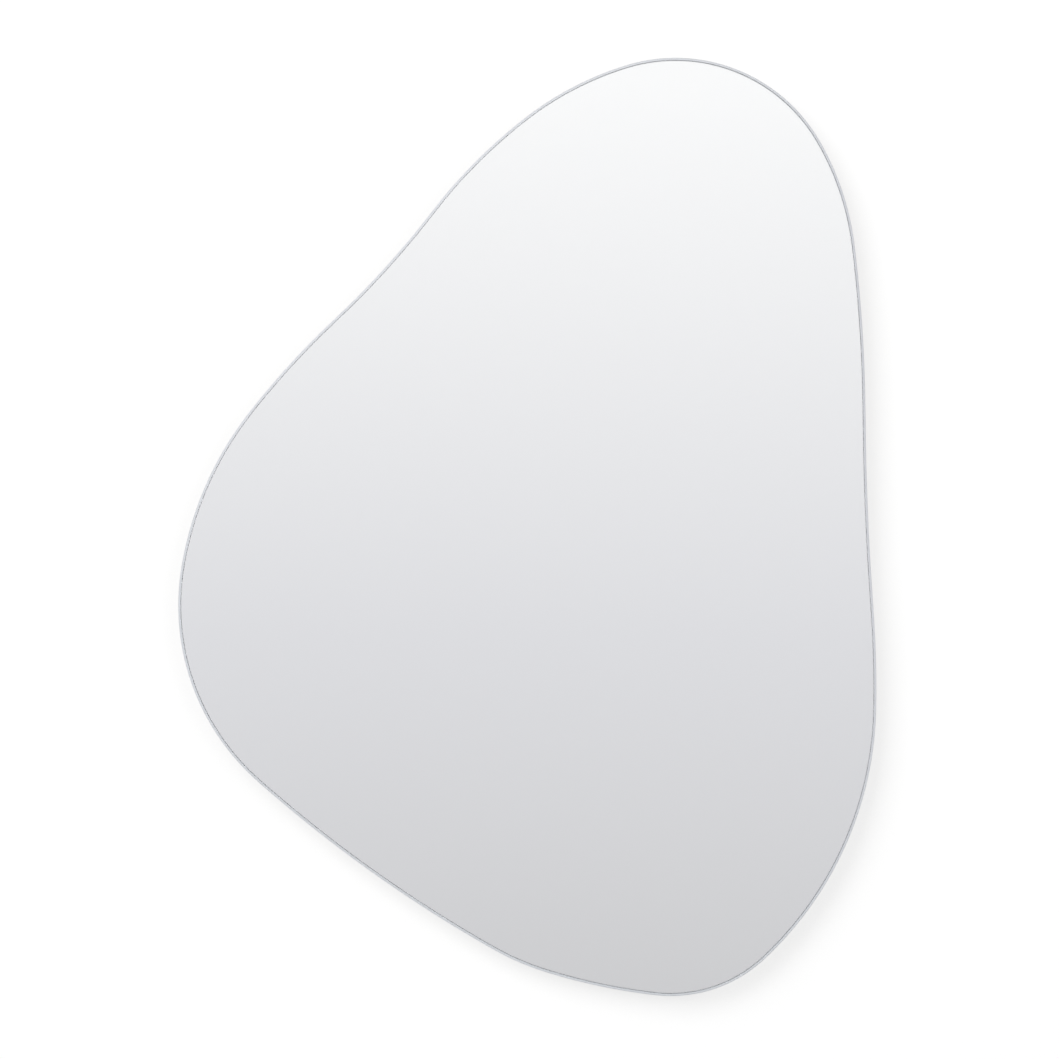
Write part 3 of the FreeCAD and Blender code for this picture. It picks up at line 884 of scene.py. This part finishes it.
@dataclass
class MirrorGlass:
    """The pane with its polished bevel, and the silver and paint on its back.

    Attributes:
        bevel: Width of the polished bevel round the front.
        back_arris: Width of the ground corner round the back.
        spacing: Longest step along the outline.
        paint_gap: Least distance from the pane's back face to the paint.
        outline: The mirror's outline, read from the pane's widest rim.
    """

    bevel: float = 2.0 * MM
    back_arris: float = 0.5 * MM
    spacing: float = 4.0 * MM
    paint_gap: float = 0.03 * MM
    outline: Outline = field(init=False)

    def __post_init__(self) -> None:
        """Reads the outline."""
        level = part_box("glass_pane")[0].y + self.bevel
        self.outline = Outline.round_node(frame["nodes"]["glass_pane"], level, self.spacing)

    def build(self) -> None:
        """Makes the pane and the coat of paint behind it."""
        front, back = (corner.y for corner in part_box("glass_pane"))
        stations = [
            Station(self.bevel, front, PaneFace.BEVEL),
            Station(0.0, front + self.bevel, PaneFace.EDGE),
            Station(0.0, back - self.back_arris, PaneFace.EDGE),
            Station(self.back_arris, back),
        ]
        finishes = [FloatGlass().make(), PolishedBevel().make(), GroundEdge().make(),
                    SilverCoat().make()]
        mesh = plate(self.outline, stations, PaneFace.FRONT, PaneFace.BACK)
        add_piece("mirror_pane", mesh, finishes, Slot.GLASS, "glass_pane")

        paint_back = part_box("silvering_and_paint")[1].y
        stations = [Station(self.back_arris, back + self.paint_gap),
                    Station(self.back_arris, paint_back)]
        mesh = plate(self.outline, stations)
        add_piece("backing_paint", mesh, [BackingPaint().make()], Slot.SILVER,
                  "silvering_and_paint")


@dataclass
class BondedBoard:
    """The film, the bond and the board behind the glass.

    Attributes:
        inset: The board's edge inside the glass edge.
        bevel: Width of the bevel round the board's back.
        soft: How far its sawn corners are rubbed down along each face.
        halfway: Depth of a rubbed corner's middle, as a share of soft.
        tapes: Number of foam tapes.
        beads: Number of silicone beads.
    """

    inset: float = 25.0 * MM
    bevel: float = 2.0 * MM
    soft: float = 0.35 * MM
    halfway: float = 0.3
    tapes: int = 4
    beads: int = 3

    def build(self, outline: Outline) -> None:
        """Dresses film, tapes and beads, and makes the board.

        Args:
            outline: The mirror's outline.
        """
        dress("safety_film", WovenFilm().make())
        foam, silicone = ClosedCellFoam().make(), CuredSilicone().make()
        for i in range(self.tapes):
            dress(f"foam_tape_{i + 1}", foam)
        for i in range(self.beads):
            dress(f"silicone_bead_{i + 1}", silicone)
        front, back = (corner.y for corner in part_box("backing_board"))
        inset, bevel, soft = self.inset, self.bevel, self.soft
        half = self.halfway * soft
        stations = [
            Station(inset + soft, front),
            Station(inset + half, front + half),
            Station(inset, front + soft),
            Station(inset, back - bevel - soft),
            Station(inset + half, back - bevel + half),
            Station(inset + bevel - half, back - half),
            Station(inset + bevel + soft, back),
        ]
        mesh = plate(outline, stations)
        add_piece("backing_board_panel", mesh, [Fibreboard().make()], Slot.BOARD,
                  "backing_board", crease=60.0)


@dataclass
class Hanger:
    """A folded strap, the D-ring caught in it and its two screws.

    Attributes:
        name: The hanger's name, as its nodes and its joint have it.
        wire: The ring wire's radius.
        wire_sides: Number of sides of the wire.
        inner_width: Width between the ring's legs.
        leg: Distance from the hinge axis to where the bow begins.
        corner: Radius of the centre line beside the bar.
        corner_steps: Steps along such a corner.
        bow_steps: Steps along the bow.
        rest_gap: Distance from the folded ring to the strap.
        strap_top: Thickness of the folded strap.
        strap_edge: Width to which the strap's sharp edges are broken.
        flat_angle: Angle in degrees below which facets make one flat.
        edge_angle: Angle in degrees above which an edge is broken.
        screws: Distances from the hinge axis to the screws.
    """

    name: str
    wire: float = 1.4 * MM
    wire_sides: int = 24
    inner_width: float = 14.0 * MM
    leg: float = 6.0 * MM
    corner: float = 2.8 * MM
    corner_steps: int = 8
    bow_steps: int = 32
    rest_gap: float = 0.3 * MM
    strap_top: float = 2.55 * MM
    strap_edge: float = 0.12 * MM
    flat_angle: float = 1.0
    edge_angle: float = 40.0
    screws: Span = (22.0 * MM, 37.0 * MM)

    def build(self, steel: Material) -> None:
        """Makes the ring and the screws, and dresses the strap.

        Args:
            steel: The finish of all its pieces.
        """
        joint = next(j for j in frame["joints"] if j["name"] == f"ring_{self.name}_fold")
        hinge, axis = Vector(joint["pos_m"]), Vector(joint["axis"])
        tail = INTO_WALL.cross(axis)
        self.dress_strap(steel)
        self.make_ring(hinge, axis, tail, steel)
        for place, reach in zip(("near", "far"), self.screws):
            foot = hinge + tail * reach
            foot.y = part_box("backing_board")[1].y + self.strap_top
            PanHeadScrew().build(f"screw_{self.name}_{place}", foot, steel)

    def dress_strap(self, steel: Material) -> None:
        """Finishes the strap and breaks its sharp edges.

        Args:
            steel: The finish.
        """
        node = f"hanger_strap_{self.name}"
        dress(node, steel)
        strap = frame["nodes"][node]
        strap.modifiers.new("welded", "WELD").merge_threshold = WELD
        flats = strap.modifiers.new("whole_flats", "DECIMATE")
        flats.decimate_type = "DISSOLVE"
        flats.angle_limit = math.radians(self.flat_angle)
        edge = strap.modifiers.new("broken_edges", "BEVEL")
        edge.width = self.strap_edge
        edge.segments = 2
        edge.limit_method = "ANGLE"
        edge.angle_limit = math.radians(self.edge_angle)
        edge.harden_normals = True

    def make_ring(self, hinge: Vector, axis: Vector, tail: Vector, steel: Material) -> None:
        """Makes the D-ring, lying back on its strap.

        Args:
            hinge: A point of the hinge axis, in the middle of the strap.
            axis: The hinge axis.
            tail: Direction from the hinge to the strap's tail.
            steel: The finish.
        """
        half = self.inner_width / 2 + self.wire
        height = hinge.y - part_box("backing_board")[1].y
        rise = self.strap_top + self.wire + self.rest_gap - height
        lean = math.asin(rise / (self.leg + half))
        outward = tail * math.cos(lean) + INTO_WALL * math.sin(lean)
        corner, steps = self.corner, self.corner_steps
        flat = [
            (0.0, 0.0),
            *arc((half - corner, corner), corner, -90.0, 0.0, steps),
            *arc((0.0, self.leg), half, 0.0, 180.0, self.bow_steps),
            *arc((corner - half, corner), corner, 180.0, 270.0, steps),
        ]
        path = [hinge + axis * u + outward * v for u, v in flat]
        mesh = tube(path, axis.cross(outward), self.wire, self.wire_sides)
        add_piece(f"d_ring_{self.name}", mesh, [steel], Slot.STEEL,
                  f"hanger_ring_{self.name}", body=f"ring_{self.name}", crease=60.0)


@dataclass
class PanHeadScrew:
    """A pan-head screw with a cross recess.

    Attributes:
        head: The head's radius.
        height: The head's height.
        skirt: Height of the head's upright side.
        crown: Radius of the flat top that holds the recess.
        round_steps: Steps of the round between side and top.
        shank: The shank's radius.
        length: Length below the head.
        wing: Half the length of the recess.
        slot: Half the width of the recess.
        depth: Depth of the recess.
        taper: Length of the recess at its floor, as a share of that at its top. Its width
            shrinks half as much.
        sides: Number of sides of the head.
    """

    head: float = 3.75 * MM
    height: float = 2.4 * MM
    skirt: float = 0.5 * MM
    crown: float = 2.35 * MM
    round_steps: int = 6
    shank: float = 1.75 * MM
    length: float = 11.0 * MM
    wing: float = 1.95 * MM
    slot: float = 0.42 * MM
    depth: float = 1.3 * MM
    taper: float = 0.55
    sides: int = 40

    def build(self, name: str, foot: Vector, steel: Material) -> None:
        """Makes the screw.

        Args:
            name: The piece's name.
            foot: Middle of the underside of its head.
            steel: The finish.
        """
        round_off, steps = self.height - self.skirt, self.round_steps
        shoulder = [
            (self.crown + (self.head - self.crown) * math.sin(a),
             self.height - round_off * (1.0 - math.cos(a)))
            for a in (math.radians(90.0 * i / steps) for i in range(steps, 0, -1))
        ]
        profile = [(self.shank, -self.length), (self.shank, 0.0), (self.head, 0.0),
                   *shoulder, (self.crown, self.height)]
        mesh, rim = lathe(foot, profile, self.sides)
        self.cut_recess(mesh, rim, foot)
        add_piece(name, mesh, [steel], Slot.STEEL, "hanger_screws", crease=35.0)

    def cut_recess(self, mesh: Mesh, rim: list[Corner], foot: Vector) -> None:
        """Closes the top of the head with a cross recess.

        Args:
            mesh: The turned screw, open at its crown.
            rim: The crown's ring.
            foot: Middle of the underside of the head.
        """
        crosses = []
        # Each cross is one wing's corners, turned to the four sides.
        for share, y in ((1.0, self.height), (self.taper, self.height - self.depth)):
            wing, slot = self.wing * share, self.slot * (1.0 + share) / 2
            crosses.append([mesh.verts.new(foot + Vector((c * u - s * v, y, s * u + c * v)))
                            for c, s in ((1, 0), (0, 1), (-1, 0), (0, -1))
                            for u, v in ((wing, -slot), (wing, slot), (slot, slot))])
        top, floor = crosses
        edges = []
        for ring in (rim, top):
            for pair in neighbours(ring):
                edges.append(mesh.edges.get(pair) or mesh.edges.new(pair))
        bmesh.ops.triangle_fill(mesh, use_beauty=True, edges=edges)
        bridge(mesh, top, floor)
        mesh.faces.new(floor)


@dataclass
class WallBumper:
    """A moulded rubber foot between the board and the wall.

    Attributes:
        name: The bumper's name, as its node has it.
        flange: Thickness of the wider foot on the board.
        step: How far the foot stands out.
        slope: Height of the slope from the foot to the body.
        lip: Radius of the round rim at the wall.
        lip_steps: Steps along that round.
        dish: Depth of the dished middle of its face.
        dish_radii: Radii of the dish at its rim and its floor, and of its hub, as shares of
            the foot's.
        sides: Number of sides.
    """

    name: str
    flange: float = 1.2 * MM
    step: float = 0.3 * MM
    slope: float = 0.3 * MM
    lip: float = 1.0 * MM
    lip_steps: int = 6
    dish: float = 0.5 * MM
    dish_radii: Triple = (0.55, 0.45, 0.10)
    sides: int = 56

    def build(self, rubber: Material) -> None:
        """Makes the bumper in its node's place.

        Args:
            rubber: The finish.
        """
        node = f"bumper_{self.name}"
        low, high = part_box(node)
        radius, height = (high.x - low.x) / 2, high.y - low.y
        centre = Vector(((low.x + high.x) / 2, low.y, (low.z + high.z) / 2))
        body, lip, deep = radius - self.step, self.lip, height - self.dish
        dish_rim, dish_floor, hub = (share * radius for share in self.dish_radii)
        profile = [(radius, 0.0), (radius, self.flange), (body, self.flange + self.slope),
                   *arc((body - lip, height - lip), lip, 0.0, 90.0, self.lip_steps),
                   (dish_rim, height), (dish_floor, deep), (hub, deep)]
        mesh, open_ring = lathe(centre, profile, self.sides)
        mesh.faces.new(open_ring)
        add_piece(f"rubber_foot_{self.name}", mesh, [rubber], Slot.RUBBER, node)


# ---- Studio ----


@dataclass(frozen=True)
class PaleRoom:
    """The room that the mirror reflects.

    Straight in front of the mirror stands a pale panel, white above and grey below. Round it
    lies a blue-grey room. The camera sees white, and matt surfaces get even light.

    Attributes:
        panel: The panel's colours, by height of the reflected ray.
        walls: The room's colours, from straight down to straight up.
        panel_span: Heights at the ends of the panel's ramp.
        walls_span: Heights at the ends of the room's ramp.
        inner: Angle in degrees off straight ahead where the panel begins to fade.
        outer: Angle in degrees where the room has taken over.
        even_light: Strength of the light on matt surfaces.
    """

    panel: Stops = (
        (-0.135, (0.643, 0.638, 0.652)),
        (-0.03, (0.767, 0.763, 0.788)),
        (0.127, (1.022, 1.016, 1.020)),
    )
    walls: Stops = (
        (-1.0, (0.45, 0.46, 0.48)),
        (-0.45, (0.70, 0.71, 0.75)),
        (-0.20, (0.80, 0.81, 0.84)),
        (0.05, (0.62, 0.63, 0.67)),
        (0.45, (0.57, 0.59, 0.63)),
        (1.0, (0.95, 0.96, 0.98)),
    )
    panel_span: Span = (-0.15, 0.15)
    walls_span: Span = (-1.0, 1.0)
    inner: float = 12.0
    outer: float = 24.0
    even_light: float = 0.55

    def build(self) -> None:
        """Makes the world that gives this light."""
        world = bpy.data.worlds.new("room")
        bpy.context.scene.world = world
        world.use_nodes = True
        nodes = Nodes(world.node_tree)
        direction = nodes.add("ShaderNodeSeparateXYZ")
        nodes.feed(direction.inputs[0], nodes.add("ShaderNodeTexCoord").outputs["Generated"])
        panel = nodes.ramp(direction.outputs["Z"], self.panel_span, self.panel)
        walls = nodes.ramp(direction.outputs["Z"], self.walls_span, self.walls)
        ahead = nodes.combine(Operation.MULTIPLY, direction.outputs["Y"], -1.0)
        fade = math.cos(math.radians(self.outer)), math.cos(math.radians(self.inner))
        reflected = nodes.blend(nodes.remap(ahead, fade, eased=True), walls, panel)

        rays = nodes.add("ShaderNodeLightPath").outputs
        mirrored = nodes.combine(Operation.MAXIMUM, rays["Is Glossy Ray"],
                                 rays["Is Transmission Ray"])
        seen = nodes.blend(mirrored, (self.even_light,) * 3, reflected)
        seen = nodes.blend(rays["Is Camera Ray"], seen, WHITE)
        background = nodes.add("ShaderNodeBackground")
        nodes.feed(background.inputs["Color"], seen)
        output = nodes.add("ShaderNodeOutputWorld")
        nodes.feed(output.inputs["Surface"], background.outputs[0])


@dataclass(frozen=True)
class SoftLamp:
    """A square lamp that faces the mirror.

    Attributes:
        name: The lamp's name.
        place: Where it hangs.
        size: The length of its sides.
        power: Its power in watts.
        in_metal: Whether polished pieces reflect it.
    """

    name: str
    place: Triple
    size: float
    power: float
    in_metal: bool = False

    def hang(self, target: Vector) -> None:
        """Hangs the lamp.

        Args:
            target: Where it faces.
        """
        data = bpy.data.lights.new(self.name, "AREA")
        data.size = self.size
        data.energy = self.power
        lamp = bpy.data.objects.new(self.name, data)
        lamp.location = self.place
        lamp.rotation_euler = (Vector(self.place) - target).to_track_quat("Z", "Y").to_euler()
        lamp.visible_glossy = self.in_metal
        lamp.visible_transmission = False
        bpy.context.scene.collection.objects.link(lamp)


@dataclass(frozen=True)
class Backdrop:
    """A flat white stage piece that only the camera sees, with the shadows on it.

    Attributes:
        name: Its name.
        glow: How strongly it glows by itself, where 1 is white.
        first: Its corner at the left, the front and the foot.
        last: The corner across from that one.
        matt: Lightness of its matt paint.
    """

    name: str
    glow: float
    first: Triple
    last: Triple
    matt: float = 0.40

    def stand(self) -> None:
        """Puts it in its place."""
        (left, near, foot), (right, far, top) = self.first, self.last
        mesh = bmesh.new()
        mesh.faces.new([mesh.verts.new(corner) for corner in (
            (left, near, foot), (right, near, foot), (right, far, top), (left, far, top))])
        data = bpy.data.meshes.new(self.name)
        mesh.to_mesh(data)
        mesh.free()
        data.materials.append(self.paint())
        made = bpy.data.objects.new(self.name, data)
        bpy.context.scene.collection.objects.link(made)
        for ray in ("diffuse", "glossy", "transmission", "shadow", "volume_scatter"):
            setattr(made, f"visible_{ray}", False)

    def paint(self) -> Material:
        """Pale matt paint that glows to white and is open from behind.

        Returns:
            The material.
        """
        material = bpy.data.materials.new(f"{self.name}_paint")
        material.use_nodes = True
        nodes = Nodes(material.node_tree)
        matt = nodes.add("ShaderNodeBsdfDiffuse")
        nodes.feed(matt.inputs["Color"], (self.matt,) * 3)
        glow = nodes.add("ShaderNodeEmission")
        nodes.feed(glow.inputs["Strength"], self.glow)
        lit = nodes.add("ShaderNodeAddShader")
        nodes.feed(lit.inputs[0], matt.outputs[0])
        nodes.feed(lit.inputs[1], glow.outputs[0])
        side = nodes.add("ShaderNodeMixShader")
        nodes.feed(side.inputs[0], nodes.add("ShaderNodeNewGeometry").outputs["Backfacing"])
        nodes.feed(side.inputs[1], lit.outputs[0])
        nodes.feed(side.inputs[2], nodes.add("ShaderNodeBsdfTransparent").outputs[0])
        output = nodes.add("ShaderNodeOutputMaterial")
        nodes.feed(output.inputs["Surface"], side.outputs[0])
        return material


@dataclass
class Studio:
    """Camera, room light, lamps, wall and floor.

    Attributes:
        view_centre: Where the camera looks straight at the mirror, as x and z.
        view_width: Width of the picture at the front of the glass.
        distance: Distance from the camera to the glass.
        sensor: Width of the camera's sensor in millimetres.
        lamps: The stronger lamp up on the left, the weaker on the right, and two behind.
        backdrops: The wall just behind the mirror's wall plane, and the floor far below.
    """

    view_centre: Span = (-36.5 * MM, -162.2 * MM)
    view_width: float = 902.4 * MM
    distance: float = 3.0
    sensor: float = 36.0
    lamps: tuple[SoftLamp, ...] = (
        SoftLamp("key_lamp", (-3.0, -4.8, 2.4), 4.0, 215.0),
        SoftLamp("fill_lamp", (2.6, -4.4, 0.2), 3.0, 42.0),
        SoftLamp("back_lamp_left", (-1.6, 2.2, 1.3), 1.6, 30.0, in_metal=True),
        SoftLamp("back_lamp_right", (1.6, 2.2, 0.6), 1.6, 22.0, in_metal=True),
    )
    backdrops: tuple[Backdrop, ...] = (
        Backdrop("wall", 0.60, (-1.8, 0.5 * MM, -1.3), (1.8, 0.5 * MM, 1.5)),
        Backdrop("floor", 0.85, (-3.0, -4.0, -1.3), (3.0, 3.0, -1.3)),
    )

    def build(self) -> None:
        """Sets up the whole studio."""
        self.place_camera()
        PaleRoom().build()
        for lamp in self.lamps:
            lamp.hang(Vector((self.view_centre[0], 0.0, self.view_centre[1])))
        for backdrop in self.backdrops:
            backdrop.stand()
        bpy.context.scene.view_settings.view_transform = "Standard"
        log.info("studio ready")

    def place_camera(self) -> None:
        """Puts the camera square to the mirror."""
        data = bpy.data.cameras.new("camera")
        data.sensor_width = self.sensor
        data.lens = self.sensor * self.distance / self.view_width
        camera = bpy.data.objects.new("camera", data)
        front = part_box("glass_pane")[0].y
        x, z = self.view_centre
        camera.location = (x, front - self.distance, z)
        camera.rotation_euler = (math.pi / 2, 0.0, 0.0)
        bpy.context.scene.collection.objects.link(camera)
        bpy.context.scene.camera = camera


def clear_start_up() -> None:
    """Removes whatever the new file held besides the frame."""
    kept = {*frame["nodes"].values(), *frame["bodies"].values()}
    for item in list(bpy.data.objects):
        if item not in kept:
            bpy.data.objects.remove(item)


def main() -> None:
    """Builds the mirror from front to back, then the studio."""
    logging.basicConfig(level=logging.INFO, format="%(message)s")
    clear_start_up()
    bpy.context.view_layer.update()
    glass = MirrorGlass()
    glass.build()
    BondedBoard().build(glass.outline)
    steel, rubber = ZincPlate().make(), MouldedRubber().make()
    for name in HANGERS:
        Hanger(name).build(steel)
    for name in BUMPERS:
        WallBumper(name).build(rubber)
    Studio().build()


if __name__ == "__main__":
    main()
